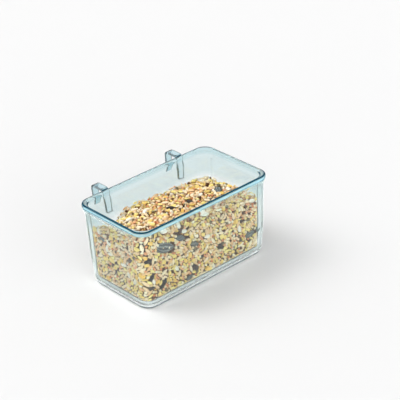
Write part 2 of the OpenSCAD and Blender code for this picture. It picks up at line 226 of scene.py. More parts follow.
low_share = np.clip(1 - outside[:, 1] / round_h, 0, 1)
corner_shift = np.concatenate([np.full(len(foot), corner_in), corner_in * low_share,
                               np.full(len(inside), corner_in)])
corner_steps = 20
tub = swept_round(section, corner_steps, corner_shift)
tub_turns, tub_steps = tub.shape[:2]
first_ring = np.arange(tub_turns) * tub_steps
tub_faces = ring_faces(tub_turns, tub_steps).tolist()
tub_faces += [first_ring[::-1].tolist(), (first_ring + tub_steps - 1).tolist()]
clear_cup = new_piece("clear_cup", tub.reshape(-1, 3), tub_faces)

# A hook's path goes up inside the pad, over the rim, and down the outer leg to a half-round tip.
bend_steps = 10
hook_top = hook_high.z
hook_tip_z = hook_low.z
leg_out = hook_high.y - cup_y - core_w - hook_t / 2
pad_face = rim_r + pad_proud
pad_out = pad_face - hook_t / 2
bend_z = hook_top - hook_t / 2 - hook_bend_r
pad_zs = np.linspace(hook_tip_z, bend_z, 24)
pad_thick = np.maximum(pad_face + pad_sunk - wall_out(pad_zs), hook_t)
leg_zs = np.linspace(bend_z, hook_tip_z + hook_t / 2, 10)
tip_turn = np.radians(np.linspace(0, 84, 8))[1:]
hook_path = np.concatenate([
    np.column_stack([pad_face - pad_thick / 2, pad_zs]),
    arc((pad_out + hook_bend_r, bend_z), hook_bend_r, 180, 90, bend_steps)[1:],
    arc((leg_out - hook_bend_r, bend_z), hook_bend_r, 90, 0, bend_steps),
    np.column_stack([np.full(len(leg_zs), leg_out), leg_zs])[1:],
    np.column_stack([np.full(len(tip_turn), leg_out), leg_zs[-1] - hook_t / 2 * np.sin(tip_turn)]),
])
hook_thick = np.full(len(hook_path), hook_t)
hook_thick[:len(pad_zs)] = pad_thick
hook_thick[-len(tip_turn):] = hook_t * np.cos(tip_turn)
pad_chamfer = np.array([0.86, 0.97])
hook_thick[:2] *= pad_chamfer
taper = np.clip((neck_z - hook_path[:, 1]) / (neck_z - hook_tip_z), 0, 1)
hook_wide = hook_w - (hook_w - hook_tip_w) * taper
sharp_turn = 40.0
for side, node_name in [(1, "hook_left"), (-1, "hook_right")]:
    low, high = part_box(node_name)
    middle_x = (low.x + high.x) / 2 + side * (hook_w - hook_tip_w) / 2 * taper
    bar = swept_bar(hook_path, hook_thick, hook_wide, middle_x, hook_edge_r)
    rings, ring_points = bar.shape[:2]
    number = np.arange(rings * ring_points).reshape(rings, ring_points)
    number = np.concatenate([number, number[:, :1]], axis=1)
    bar_faces = np.stack([number[:-1, :-1], number[1:, :-1], number[1:, 1:], number[:-1, 1:]], axis=-1)
    bar_faces = bar_faces.reshape(-1, 4).tolist() + [number[0, :-1].tolist(), number[-1, -2::-1].tolist()]
    hook = new_piece("hook", bar.reshape(-1, 3), bar_faces)
    join = clear_cup.modifiers.new("join", "BOOLEAN")
    join.operation, join.object, join.solver = "UNION", hook, "EXACT"
    joined = bpy.data.meshes.new_from_object(clear_cup.evaluated_get(bpy.context.evaluated_depsgraph_get()))
    clear_cup.modifiers.clear()
    clear_cup.data = joined
    bpy.data.objects.remove(hook)
clear_cup.data.name = "clear_cup"
clear_cup.data.polygons.foreach_set("use_smooth", np.ones(len(clear_cup.data.polygons), bool))
clear_cup.data.set_sharp_from_angle(angle=math.radians(sharp_turn))

# What the plastic knows of each point: how much of the tint shows there, whether it is on a hook, how far
# round the bead it lies in half turns from its outer side to its inner one, and how near the foot it lies,
# for the painted light and painted shadow there.
edge_slack = 0.2 * mm
tint_fade = 2.0 * mm
inner_tint = 0.45
foot_band_top = 7.0 * mm
foot_band_fade = 4.0 * mm
spots = np.empty(len(clear_cup.data.vertices) * 3)
clear_cup.data.vertices.foreach_get("co", spots)
spots = spots.reshape(-1, 3)
past_core = np.abs(spots[:, :2] - [0, cup_y]) - [core_l, core_w]
from_core = np.linalg.norm(np.maximum(past_core, 0), axis=1) + np.minimum(past_core.max(axis=1), 0)
bead_turn = np.arctan2((spots[:, 2] - bead_z) / bead_tall, from_core - (bead_in + bead_out) / 2) / np.pi
bead_turn[(spots[:, 2] < neck_z - edge_slack) | (from_core > rim_r + edge_slack)] = -1
on_bead = np.clip((spots[:, 2] - neck_z + tint_fade) / tint_fade, 0, 1)
on_bead *= np.where(np.abs(bead_turn) < 0.5, 1.0, inner_tint)
on_hook = np.clip((from_core - pad_face + pad_proud) / pad_proud, 0, 1)
# The band over the foot carries painted light, and a painted shadow line along its bottom.
foot_band = np.clip((foot_band_top - spots[:, 2]) / foot_band_fade, 0, 1)
for share_name, share in {"tint_share": on_bead, "hook_share": on_hook, "bead_turn": bead_turn,
                          "foot_share": foot_band}.items():
    layer = clear_cup.data.attributes.new(share_name, "FLOAT", "POINT")
    layer.data.foreach_set("value", share)


def colour(red, green, blue):
    """Linear colour with full alpha from sRGB numbers of 0 to 255: the straight part below 0.04045 and the
    2.4 power above it."""
    c = np.array([red, green, blue]) / 255
    linear = np.where(c <= 0.04045, c / 12.92, ((c + 0.055) / 1.055) ** 2.4)
    return (*linear.tolist(), 1.0)


def add_node(tree, kind, settings=None, **sockets):
    """Adds a shader node. Its settings are attributes, and each named socket gets a value or a link from
    another node's output; a socket's name has _ for a space."""
    made = tree.nodes.new(kind)
    for name, value in (settings or {}).items():
        setattr(made, name, value)
    for name, value in sockets.items():
        key = int(name[1:]) if name[0] == "_" else name.replace("_", " ")
        if isinstance(value, bpy.types.NodeSocket):
            tree.links.new(value, made.inputs[key])
        else:
            made.inputs[key].default_value = value
    return made


def new_group(name, inputs, outputs):
    """Shader node group with named sockets, and its input and output nodes."""
    group = bpy.data.node_groups.new(name, "ShaderNodeTree")
    for in_out, sockets in (("INPUT", inputs), ("OUTPUT", outputs)):
        for socket_name, kind in sockets.items():
            group.interface.new_socket(socket_name, in_out=in_out, socket_type="NodeSocket" + kind)
    return group, group.nodes.new("NodeGroupInput").outputs, group.nodes.new("NodeGroupOutput").inputs


def new_material(name):
    """Node material without any nodes, and its node tree."""
    material = bpy.data.materials.new(name)
    material.use_nodes = True
    material.node_tree.nodes.clear()
    return material, material.node_tree


clear_plastic, tree = new_material("clear_plastic")
place = add_node(tree, "ShaderNodeTexCoord").outputs["Object"]
flow = add_node(tree, "ShaderNodeTexNoise", Vector=place, Scale=55.0, Detail=2.0)
handled = add_node(tree, "ShaderNodeTexNoise", Vector=place, Scale=420.0, Detail=4.0)
haze = add_node(tree, "ShaderNodeMapRange", Value=handled.outputs["Fac"], From_Min=0.45, From_Max=0.75,
                To_Min=0.015, To_Max=0.05)
ripple = add_node(tree, "ShaderNodeBump", Height=flow.outputs["Fac"], Strength=0.12, Distance=0.0006)
facing = add_node(tree, "ShaderNodeLayerWeight", Blend=0.5).outputs["Facing"]
shares = {name: add_node(tree, "ShaderNodeAttribute", {"attribute_name": name}).outputs["Fac"]
          for name in ("tint_share", "hook_share", "bead_turn", "foot_share", "bare_share")}
behind = add_node(tree, "ShaderNodeNewGeometry").outputs["Backfacing"]
front = add_node(tree, "ShaderNodeMath", {"operation": "SUBTRACT"}, _0=1.0, _1=behind).outputs[0]


# These functions add to the node tree that is called tree at the time.
def ramp(value, low, high):
    """Smooth step of a value, from 0 at the low end to 1 at the high one."""
    return add_node(tree, "ShaderNodeMapRange", {"interpolation_type": "SMOOTHSTEP"}, Value=value,
                    From_Min=low, From_Max=high).outputs["Result"]


def maths(operation, first, second, third=0.0):
    """Output of a math node."""
    made = add_node(tree, "ShaderNodeMath", {"operation": operation}, _0=first, _1=second, _2=third)
    return made.outputs[0]


def times(first, second):
    """Product of two values."""
    return maths("MULTIPLY", first, second)


def larger(first, second):
    """The larger of two values."""
    return maths("MAXIMUM", first, second)


def less(whole, part):
    """A whole less a part."""
    return maths("SUBTRACT", whole, part)


def mixed(share, first, second):
    """Colour that lies the share of the way from the first colour to the second."""
    return add_node(tree, "ShaderNodeMix", {"data_type": "RGBA"}, _0=share, _6=first, _7=second).outputs[2]


# Long ways of light through the bead are painted into its colour as a deep line of painted shade: all along
# its upper half, and where it turns away below. From the inside the upper half stays pale, unless it turns
# away there too.
below_strength = 0.6
grazing = ramp(facing, 0.46, 0.64)
risen = ramp(shares["bead_turn"], 0.1, 0.24)
inward = ramp(shares["bead_turn"], 0.48, 0.56)
on_bead_share = ramp(shares["bead_turn"], -0.6, -0.4)
upper_line = times(risen, less(1.0, times(inward, less(1.0, grazing))))
lower_line = times(times(on_bead_share, grazing), less(below_strength, upper_line))
line = maths("ADD", upper_line, larger(lower_line, 0.0))
wall_colour = mixed(shares["bare_share"], colour(250, 254, 254), colour(222, 236, 237))
bead_colour = mixed(times(shares["tint_share"], front), wall_colour, colour(136, 200, 216))
moulded_colour = mixed(shares["hook_share"], bead_colour, colour(198, 224, 231))
lined_colour = mixed(line, moulded_colour, colour(8, 92, 118))
plastic = add_node(tree, "ShaderNodeBsdfPrincipled", Base_Color=lined_colour, IOR=1.49,
                   Roughness=haze.outputs["Result"], Transmission_Weight=1.0, Normal=ripple.outputs["Normal"])

# A matt share is mixed into the plastic, in pale colours as painted light and in dark ones as painted shade:
# the deep line, painted light on the bead's side, on the walls' edges and on the foot, a painted shadow line
# along the foot's bottom, painted shade on the hooks' edges, and painted light where light is trapped inside
# the wall.
line_paint = 0.9
side_light_paint = 0.5
edge_light_paint = 0.6
foot_light_paint = 0.6
foot_shadow_paint = 0.95
trapped_light_paint = 0.8
hook_trapped = 0.75
off_bead = less(1.0, on_bead_share)
# Painted light: a pale matt share on the walls' edges where they are seen edge-on, and where light is trapped
# inside the wall.
body_edge = times(ramp(facing, 0.62, 0.92), off_bead)
trapped = times(times(behind, off_bead), ramp(facing, 0.26, 0.34))
# Painted shadow: a dark line along the foot's lowest edge, where the floor's contact shadow lies.
foot_low = times(ramp(shares["foot_share"], 0.8, 1.0), front)
foot_shadow_line = times(foot_low, ramp(facing, 0.42, 0.6))
# Painted shade: the hooks' edges turn dark grey where they are seen edge-on and where light is trapped in
# them.
hook_edge_shade = times(shares["hook_share"], larger(times(trapped, hook_trapped), ramp(facing, 0.8, 0.98)))
# Painted light on the lower, outer side of the bead.
bead_side = times(on_bead_share, less(1.0, risen))
# The pale colours are painted light; the dark grey is painted shadow at the foot and painted shade on the
# hooks' edges.
pale = mixed(shares["foot_share"], colour(228, 235, 234), colour(242, 247, 245))
pale_or_dark = mixed(larger(foot_shadow_line, hook_edge_shade), pale, colour(70, 84, 90))
# The deep teal of the line is painted shade, and the pale blue of the bead's side is painted light.
painted_colour = mixed(line, mixed(bead_side, pale_or_dark, colour(154, 194, 206)), colour(0, 56, 74))
painted_foot = larger(times(shares["foot_share"], foot_light_paint), times(foot_shadow_line, foot_shadow_paint))
painted_edges_and_foot = larger(times(body_edge, edge_light_paint), painted_foot)
banded = larger(times(line, line_paint), times(bead_side, side_light_paint))
painted_share = larger(times(larger(painted_edges_and_foot, banded), front), times(trapped, trapped_light_paint))
painted_light_and_shade = add_node(tree, "ShaderNodeBsdfDiffuse", Color=painted_colour)
body = add_node(tree, "ShaderNodeMixShader", _0=painted_share, _1=plastic.outputs["BSDF"],
                _2=painted_light_and_shade.outputs["BSDF"])
tint = add_node(tree, "ShaderNodeVolumeAbsorption", Color=colour(40, 214, 224), Density=6.0)
add_node(tree, "ShaderNodeOutputMaterial", Surface=body.outputs["Shader"], Volume=tint.outputs["Volume"])
clear_cup.data.materials.clear()
clear_cup.data.materials.append(clear_plastic)
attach(clear_cup, "root")
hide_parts("cup", "hook_left", "hook_right")


# The feed, poured.
# Ten kinds of grain tipped in together. Each grain lies as it came to rest: pushed off its neighbours,
# flat against the wall or floor where it meets one, and heaped on top. Lengths here are in millimetres.
KINDS = ["white_millet", "red_millet", "canary_seed", "oat_groats", "hemp_seed", "buckwheat",
         "cracked_corn", "safflower_seed", "striped_sunflower_seed", "black_sunflower_seed"]
grain_size = np.array([[3.0, 2.6, 2.4], [2.9, 2.3, 2.2], [5.6, 2.3, 2.1], [6.6, 2.8, 2.4],
                       [3.2, 2.8, 2.6], [4.0, 2.8, 2.7], [5.0, 4.2, 3.0], [7.2, 4.0, 3.4],
                       [12.5, 6.2, 3.8], [10.0, 5.0, 3.6]])
mix_share = np.array([0.36, 0.15, 0.17, 0.18, 0.03, 0.036, 0.06, 0.012, 0.001, 0.002])
size_spread = 0.09
shell_depth = 4.8
packed_share = 0.64
settle_steps = 70
chance = np.random.default_rng(20)

fill_h = 57.0
fall_l = 5.9
fall_w = 5.5
heap_h = 3.2
dip_h = 13.0
dip_r = 13.0
dip_share = (-0.7, 1.03)
ends_share = 0.028
bare_blend = 5.0
half_l = (core_l + plain_in(fill_h * mm)) / mm
half_w = (core_w + plain_in(fill_h * mm)) / mm


def bed_height(x, y):
    """Height of the feed over a point of the cup: a plane that falls to the right-hand end and to the hooks,
    a twist that heaps the front left corner, ends that fall with the square, and a bell-shaped hollow."""
    u, v = x / half_l, y / half_w
    off = (x - dip_share[0] * half_l) ** 2 + (y - dip_share[1] * half_w) ** 2
    return (fill_h - fall_l * u - fall_w * v + heap_h * u * v - ends_share * fill_h * u * u
            - dip_h * np.exp(-off / dip_r ** 2))


# The plastic's share of bare wall runs from 0 at the feed's top to 1 above it.
over_feed = spots[:, 2] / mm - bed_height(spots[:, 0] / mm, (spots[:, 1] - cup_y) / mm)
bare = np.clip(over_feed / bare_blend, 0, 1)
clear_cup.data.attributes.new("bare_share", "FLOAT", "POINT").data.foreach_set("value", bare)


def bed_up(x, y):
    """Upright direction of the feed's surface: the height's slopes along X and Y, negated, and 1 along Z."""
    step = 1.0
    slope_x = (bed_height(x + step, y) - bed_height(x - step, y)) / (2 * step)
    slope_y = (bed_height(x, y + step) - bed_height(x, y - step)) / (2 * step)
    raw = np.column_stack([-slope_x, -slope_y, np.ones(len(x))])
    return raw / np.linalg.norm(raw, axis=1)[:, None]


def wall_gap(at):
    """Distance from points to the inside of wall, floor and the fillet between them, and the outward
    direction there. The wall's distance is that of a rounded rectangle. In the fillet it is the radius less
    the distance from the fillet's centre line."""
    corner = corner_in / mm
    past = np.abs(at[:, :2]) - np.array([core_l, core_w]) / mm + corner
    beyond = np.maximum(past, 0)
    reach = np.linalg.norm(beyond, axis=1)
    along_side = np.minimum(past.max(axis=1), 0)
    to_wall = plain_in(at[:, 2] * mm) / mm + corner - reach - along_side
    pick = (past == past.max(axis=1)[:, None]) & (reach == 0)[:, None]
    flat = np.where((reach > 0)[:, None], beyond / np.maximum(reach, 1e-9)[:, None], pick)
    flat = np.column_stack([flat * np.sign(at[:, :2]), np.zeros(len(at))])
    to_floor = at[:, 2] - floor_z / mm
    radius = floor_r / mm
    low = np.array([0.0, 0.0, -1.0])
    lean_w, lean_f = np.maximum(radius - to_wall, 0), np.maximum(radius - to_floor, 0)
    lean = np.hypot(lean_w, lean_f)
    in_fillet = (lean_w > 0) & (lean_f > 0)
    gap = np.where(in_fillet, radius - lean, np.minimum(to_wall, to_floor))
    slanted = (lean_w[:, None] * flat + lean_f[:, None] * low) / np.maximum(lean, 1e-9)[:, None]
    nearest = np.where((to_wall < to_floor)[:, None], flat, low)
    return gap, np.where(in_fillet[:, None], slanted, nearest)


def reach_along(axes, half, way):
    """How far an ellipsoid reaches along a direction: the root of the sum of (half axis times the cosine
    between that axis and the direction) squared."""
    return np.sqrt(np.sum((half * np.einsum("nij,nj->ni", axes, way)) ** 2, axis=1))


def square_up(axes):
    """Makes each grain's three axes unit length and square to each other again: the long one keeps its
    direction, then the thin one, and the wide one is their cross product."""
    long = axes[:, 0] / np.linalg.norm(axes[:, 0], axis=1)[:, None]
    thin = axes[:, 2] - long * np.sum(axes[:, 2] * long, axis=1)[:, None]
    thin /= np.maximum(np.linalg.norm(thin, axis=1), 1e-9)[:, None]
    return np.stack([long, np.cross(thin, long), thin], axis=1)


flat_from = 1.35
ball_spacing = 0.95


def balls_of(size):
    """Balls that stand for a grain while it settles: as thick as the grain, in one row along a slim grain or
    two rows along a flat one, the rows drawn together towards the ends as on an ellipse."""
    l, w, t = size
    radius = t / 2 if w > flat_from * t else (w + t) / 4
    places = np.linspace(-1, 1, max(1, int(round((l - 2 * radius) / (ball_spacing * radius))) + 1))
    along = places * (l / 2 - radius)
    rows = (-1, 1) if w > flat_from * t else (0,)
    narrow = np.sqrt(1 - (along / (l / 2)) ** 2)
    return np.concatenate([np.column_stack([along, row * narrow * (w / 2 - radius), 0 * along])
                           for row in rows]), radius


def close_pairs(at, owner, reach):
    """Pairs of balls of different grains that are less than a reach apart. Balls are sorted into cubes of
    that size, and each cube is set against itself and the 13 cubes that lie ahead of it."""
    cell = np.floor((at - at.min(axis=0)) / reach).astype(int) + 1
    size = cell.max(axis=0) + 2
    key = (cell[:, 0] * size[1] + cell[:, 1]) * size[2] + cell[:, 2]
    order = np.argsort(key, kind="stable")
    count = np.bincount(key, minlength=size.prod())
    start = np.cumsum(count) - count
    ahead = [(i, j, k) for i in (0, 1) for j in (-1, 0, 1) for k in (-1, 0, 1) if (i, j, k) >= (0, 0, 0)]
    found = []
    for i, j, k in ahead:
        other = key + (i * size[1] + j) * size[2] + k
        n = count[other]
        first = np.repeat(np.arange(len(at)), n)
        second = order[np.repeat(start[other], n) + np.arange(n.sum()) - np.repeat(np.cumsum(n) - n, n)]
        keep = owner[first] != owner[second]
        if (i, j, k) == (0, 0, 0):
            keep &= first < second
        first, second = first[keep], second[keep]
        near = np.sum((at[first] - at[second]) ** 2, axis=1) < reach ** 2
        found.append((first[near], second[near]))
    return (np.concatenate([f for f, s in found]), np.concatenate([s for f, s in found]))


# Large grains that lie against the wall where they catch the eye: the kind, the wall, the place along it,
# the height, the turn in degrees, and the size against the usual.
chosen = [("striped_sunflower_seed", "front", -41.6, 49.4, -22, 1.7),
          ("striped_sunflower_seed", "front", -26.0, 51.5, -26, 0.85),
          ("striped_sunflower_seed", "front", -11.8, 40.0, -22, 0.75),
          ("black_sunflower_seed", "front", 15.7, 25.5, -50, 0.8),
          ("black_sunflower_seed", "front", -57.5, 29.4, 70, 0.7),
          ("black_sunflower_seed", "front", -60.0, 44.0, -10, 0.7),
          ("black_sunflower_seed", "front", -58.0, 19.0, -16, 0.55),
          ("striped_sunflower_seed", "front", -18.5, 11.5, 20, 0.6),
          ("striped_sunflower_seed", "left", 15.6, 47.6, 20, 0.5),
          ("cracked_corn", "left", 7.1, 30.8, 10, 1.8),
          ("safflower_seed", "left", -14.0, 26.0, 65, 0.9)]

# As many grains as fill a shell behind the walls, over the floor and under the top.
shell_fill = 0.93
area_walls = 4 * (half_l + half_w) * fill_h
area_flat = 2 * 4 * half_l * half_w
grain_volume = np.pi / 6 * grain_size.prod(axis=1)
grain_count = int(packed_share * shell_fill * shell_depth * (area_walls + area_flat)
                  / (mix_share @ grain_volume))
kind = chance.choice(len(KINDS), grain_count, p=mix_share / mix_share.sum())
kind[:len(chosen)] = [KINDS.index(row[0]) for row in chosen]
half = grain_size[kind] / 2 * (1 + size_spread * np.clip(chance.normal(size=(grain_count, 1)), -2, 2))
half[:len(chosen)] = np.array([grain_size[KINDS.index(row[0])] / 2 * row[5] for row in chosen])

heap_room = 3.0
least_gap = 0.9
lowest_top, highest_top = 0.2, 2.4
spread = np.array([half_l, half_w, fill_h / 2 + heap_room])
at = np.empty((0, 3))
while len(at) < grain_count:
    guess = chance.uniform(-1, 1, (grain_count * 3, 3)) * spread + [0, 0, fill_h / 2 + heap_room]
    gap = np.minimum(wall_gap(guess)[0], bed_height(guess[:, 0], guess[:, 1]) - guess[:, 2])
    at = np.concatenate([at, guess[(gap > least_gap) & (gap < shell_depth)]])
at = at[:grain_count]
axes = square_up(chance.normal(size=(grain_count, 3, 3)))
ceiling = chance.uniform(lowest_top, highest_top, grain_count)

pinned = np.arange(grain_count) < len(chosen)
for n, (name, wall, along, height, turn, size) in enumerate(chosen):
    out, level_way = {"front": ((0, -1, 0), (1, 0, 0)), "left": ((-1, 0, 0), (0, 1, 0))}[wall]
    face = plain_in(height * mm) / mm + (core_w if wall == "front" else core_l) / mm - half[n, 2]
    at[n] = np.array(out) * face + np.array(level_way) * along + [0, 0, height]
    lean = math.radians(turn)
    axes[n, 0] = np.array(level_way) * math.cos(lean) + np.array([0, 0, math.sin(lean)])
    axes[n, 2] = out
axes = square_up(axes)

ball_rows = [balls_of(size) for size in grain_size]
ball_count = np.array([len(places) for places, radius in ball_rows])[kind]
owner = np.repeat(np.arange(grain_count), ball_count)
usual_l = grain_size[kind][owner, :1] / 2
offset = np.concatenate([ball_rows[k][0] for k in kind]) * (half[owner, :1] / usual_l)
ball_r = np.array([radius for places, radius in ball_rows])[kind][owner] * half[owner, 0] / usual_l[:, 0]
inertia = np.maximum(np.bincount(owner, np.sum(offset ** 2, axis=1)), 1e-6)

# How a step settles the grains: the skin in which pairs are looked for, how often they are, the shares of a
# push and of a turn that are followed, the longest move, the share of a lean that is righted in slim grains
# near a face, the pull towards the wall, and the film left between a grain and the wall.
skin = 0.7
pairs_every = 5
follow_move = 0.55
follow_turn = 0.6
longest_move = 0.8
slim_from = 1.5
near_face = 0.9
righting = 0.35
pull_out = 0.03
wall_film = 0.05
widest = 2 * ball_r.max() + skin

for step in range(settle_steps):
    arm = np.einsum("nj,njk->nk", offset, axes[owner])
    ball_at = at[owner] + arm
    if step % pairs_every == 0:
        first, second = close_pairs(ball_at, owner, widest)
        between = np.linalg.norm(ball_at[first] - ball_at[second], axis=1)
        near = between < ball_r[first] + ball_r[second] + skin
        first, second = first[near], second[near]
    apart = ball_at[second] - ball_at[first]
    distance = np.maximum(np.linalg.norm(apart, axis=1), 1e-6)
    overlap = np.maximum(ball_r[first] + ball_r[second] - distance, 0)
    push = apart * (0.5 * overlap / distance)[:, None]
    moved = np.stack([np.bincount(second, push[:, k], len(owner)) - np.bincount(first, push[:, k], len(owner))
                      for k in range(3)], axis=1)
    move = np.stack([np.bincount(owner, moved[:, k]) for k in range(3)], axis=1)
    move /= np.sqrt(ball_count)[:, None]
    twist = np.cross(arm, moved)
    twist = np.stack([np.bincount(owner, twist[:, k]) for k in range(3)], axis=1) / inertia[:, None]
    twist *= (ball_count > 1)[:, None] * follow_turn
    move *= follow_move
    how_far = np.linalg.norm(move, axis=1)
    move *= np.minimum(1, longest_move / np.maximum(how_far, 1e-9))[:, None]
    move[pinned] = 0
    twist[pinned] = 0
    at += move
    axes = square_up(axes + np.cross(twist[:, None, :], axes))
    gap, out = wall_gap(at)
    top = bed_height(at[:, 0], at[:, 1]) + ceiling - at[:, 2]
    up_way = bed_up(at[:, 0], at[:, 1])
    slim = half[:, 0] / half[:, 2] > slim_from
    for room, way in ((gap, out), (top, up_way)):
        flat_on = (slim & ~pinned & (room < near_face * half[:, 0]))[:, None]
        lean = np.sum(axes[:, 0] * way, axis=1)[:, None]
        axes[:, 0] -= flat_on * righting * lean * way
        same_side = np.sign(np.sum(axes[:, 2] * way, axis=1) + 1e-9)[:, None]
        axes[:, 2] += flat_on * righting * same_side * way
        axes = square_up(axes)
    inwards = np.maximum(np.minimum(gap, top) - shell_depth, 0)
    by_wall = (gap < top)[:, None]
    at += np.where(by_wall, out, up_way) * np.minimum(inwards, longest_move)[:, None]
    at += np.where(by_wall, out, 0) * (pull_out * ~pinned)[:, None]
    top = bed_height(at[:, 0], at[:, 1]) + ceiling - at[:, 2]
    at -= up_way * np.maximum(reach_along(axes, half, up_way) - top, 0)[:, None] * ~pinned[:, None]
    gap, out = wall_gap(at)
    at -= out * np.maximum(reach_along(axes, half, out) + wall_film - gap, 0)[:, None]

grain_tone = chance.uniform(0, 1, grain_count)


def grain_shape(rings, sides, plump, blunt=1.0, ridges=0, ridge=0.0):
    """Unit grain along X: circles whose radius follows the sine of the share of the length, raised to plump,
    with the widest place moved by raising the share to blunt. Ridges add a cosine wave round the section.
    Gives the points, the triangles at both poles and the quads between."""
    share = (1 - np.cos(np.pi * np.arange(1, rings + 1) / (rings + 1))) / 2
    radius = np.sin(np.pi * share ** blunt) ** plump
    angle = 2 * np.pi * np.arange(sides) / sides
    around = 1 + ridge * (np.cos(ridges * angle) - 1) if ridges else np.ones(sides)
    body = np.stack([np.repeat(2 * share - 1, sides), np.outer(radius, around * np.cos(angle)).ravel(),
                     np.outer(radius, around * np.sin(angle)).ravel()], axis=1)
    points = np.concatenate([body, [[-1, 0, 0], [1, 0, 0]]])
    ring = np.arange(sides)
    after = (ring + 1) % sides
    first_pole, last_pole = rings * sides, rings * sides + 1
    last = (rings - 1) * sides
    poles = np.concatenate([np.column_stack([np.full(sides, first_pole), after, ring]),
                            np.column_stack([np.full(sides, last_pole), last + ring, last + after])])
    rows = np.arange(rings - 1)[:, None] * sides
    quads = np.stack([rows + ring, rows + after, rows + sides + after, rows + sides + ring], axis=-1)
    return points, poles, quads.reshape(-1, 4)


# How deep points lie is measured from the walls and from a little over the bed's height. Past a set depth
# they get painted shade, for the light that does not reach in between the grains, darkest a set distance
# deeper.
top_reach = 1.8
shade_from = 1.5
shade_over = 2.2


def lay_grains(name, shape, jitter=0.0, smooth=True):
    """Mesh points and faces of every grain of one kind: each is the unit shape times the grain's half sizes,
    turned by its axes and moved to its place. Three attributes go along for the material: grain_tone, one
    random number a grain, grain_own, the point's place on the unit shape, and a third that holds the share of
    painted shade that comes from how far the point lies into the feed."""
    points, poles, quads = shape
    these = np.flatnonzero(kind == KINDS.index(name))
    unit = np.broadcast_to(points, (len(these), *points.shape))
    if jitter:
        unit = unit * (1 + jitter * chance.uniform(-1, 0.6, (*unit.shape[:2], 1)))
    placed = at[these, None] + np.einsum("nvj,njk->nvk", unit * half[these, None], axes[these])
    spot = placed.reshape(-1, 3)
    under_top = bed_height(spot[:, 0], spot[:, 1]) + top_reach - spot[:, 2]
    painted_shade = np.clip((np.minimum(wall_gap(spot)[0], under_top) - shade_from) / shade_over, 0, 1)
    placed = placed * mm + [0, cup_y, 0]
    first = np.arange(len(these))[:, None, None] * len(points)
    triangles, squares = (poles + first).reshape(-1, 3), (quads + first).reshape(-1, 4)
    mesh = bpy.data.meshes.new(name + "_grains")
    mesh.vertices.add(placed.size // 3)
    mesh.vertices.foreach_set("co", placed.ravel())
    corners = np.concatenate([triangles.ravel(), squares.ravel()])
    mesh.loops.add(len(corners))
    mesh.loops.foreach_set("vertex_index", corners)
    starts = np.concatenate([np.arange(len(triangles)) * 3, triangles.size + np.arange(len(squares)) * 4])
    mesh.polygons.add(len(starts))
    mesh.polygons.foreach_set("loop_start", starts)
    mesh.polygons.foreach_set("use_smooth", np.full(len(starts), smooth))
    mesh.update(calc_edges=True)
    tone = mesh.attributes.new("grain_tone", "FLOAT", "POINT")
    tone.data.foreach_set("value", np.repeat(grain_tone[these], len(points)))
    depth = mesh.attributes.new("grain_painted_shade", "FLOAT", "POINT")
    depth.data.foreach_set("value", painted_shade)
    own = mesh.attributes.new("grain_own", "FLOAT_VECTOR", "POINT")
    own.data.foreach_set("vector", np.tile(points.ravel(), len(these)))
    piece = bpy.data.objects.new(name + "_grains", mesh)
    bpy.context.collection.objects.link(piece)
    return piece


def finish_grains(piece, material, node_name):
    """Gives a kind its material, hangs it under the root body and hides the CAD part that it stands for."""
    piece.data.materials.append(material)
    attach(piece, "root")
    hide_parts(node_name)


# One group colours every husk: it runs from a pale to a deep colour with the grain's own tone, darkens
# towards the germ end, adds fine specks, and paints shade on all that lies into the feed, where little light
# reaches between the grains. Its height gives the husk's pitted skin.
husk, husk_in, husk_out = new_group(
    "husk", {"Place": "Vector", "Own": "Vector", "Tone": "Float", "Pale": "Color", "Deep": "Color",
             "Germ": "Color", "Germ amount": "Float", "Speck amount": "Float", "Sunk": "Float"},
    {"Color": "Color", "Roughness": "Float", "Height": "Float"})
fine = add_node(husk, "ShaderNodeTexNoise", Vector=husk_in["Place"], Scale=1400.0, Detail=3.0)
patch = add_node(husk, "ShaderNodeTexNoise", Vector=husk_in["Place"], Scale=420.0, Detail=2.0)
uneven = add_node(husk, "ShaderNodeMath", {"operation": "MULTIPLY_ADD"}, _0=patch.outputs["Fac"], _1=0.7,
                  _2=husk_in["Tone"])
tone_share = add_node(husk, "ShaderNodeMapRange", Value=uneven.outputs[0], From_Min=0.3, From_Max=1.4)
body_colour = add_node(husk, "ShaderNodeMix", {"data_type": "RGBA"}, _0=tone_share.outputs["Result"],
                       _6=husk_in["Pale"], _7=husk_in["Deep"])
own_parts = add_node(husk, "ShaderNodeSeparateXYZ", Vector=husk_in["Own"])
germ_share = add_node(husk, "ShaderNodeMapRange", {"interpolation_type": "SMOOTHSTEP"},
                      Value=own_parts.outputs["X"], From_Min=0.55, From_Max=1.0)
germ_mix = add_node(husk, "ShaderNodeMath", {"operation": "MULTIPLY"}, _0=germ_share.outputs["Result"],
                    _1=husk_in["Germ amount"])
with_germ = add_node(husk, "ShaderNodeMix", {"data_type": "RGBA"}, _0=germ_mix.outputs[0],
                     _6=body_colour.outputs[2], _7=husk_in["Germ"])
speck_share = add_node(husk, "ShaderNodeMapRange", Value=fine.outputs["Fac"], From_Min=0.56, From_Max=0.72)
speck_mix = add_node(husk, "ShaderNodeMath", {"operation": "MULTIPLY"}, _0=speck_share.outputs["Result"],
                     _1=husk_in["Speck amount"])
with_speck = add_node(husk, "ShaderNodeMix", {"data_type": "RGBA"}, _0=speck_mix.outputs[0],
                      _6=with_germ.outputs[2], _7=husk_in["Germ"])
dullness = add_node(husk, "ShaderNodeMapRange", Value=patch.outputs["Fac"], To_Min=0.38, To_Max=0.68)
# Painted shade: points that lie deep in the feed are multiplied towards a shaded brown.
with_painted_shade = add_node(husk, "ShaderNodeMix", {"data_type": "RGBA", "blend_type": "MULTIPLY"},
                      _0=husk_in["Sunk"], _6=with_speck.outputs[2], _7=colour(182, 138, 92))
husk.links.new(with_painted_shade.outputs[2], husk_out["Color"])
husk.links.new(dullness.outputs["Result"], husk_out["Roughness"])
husk.links.new(fine.outputs["Fac"], husk_out["Height"])


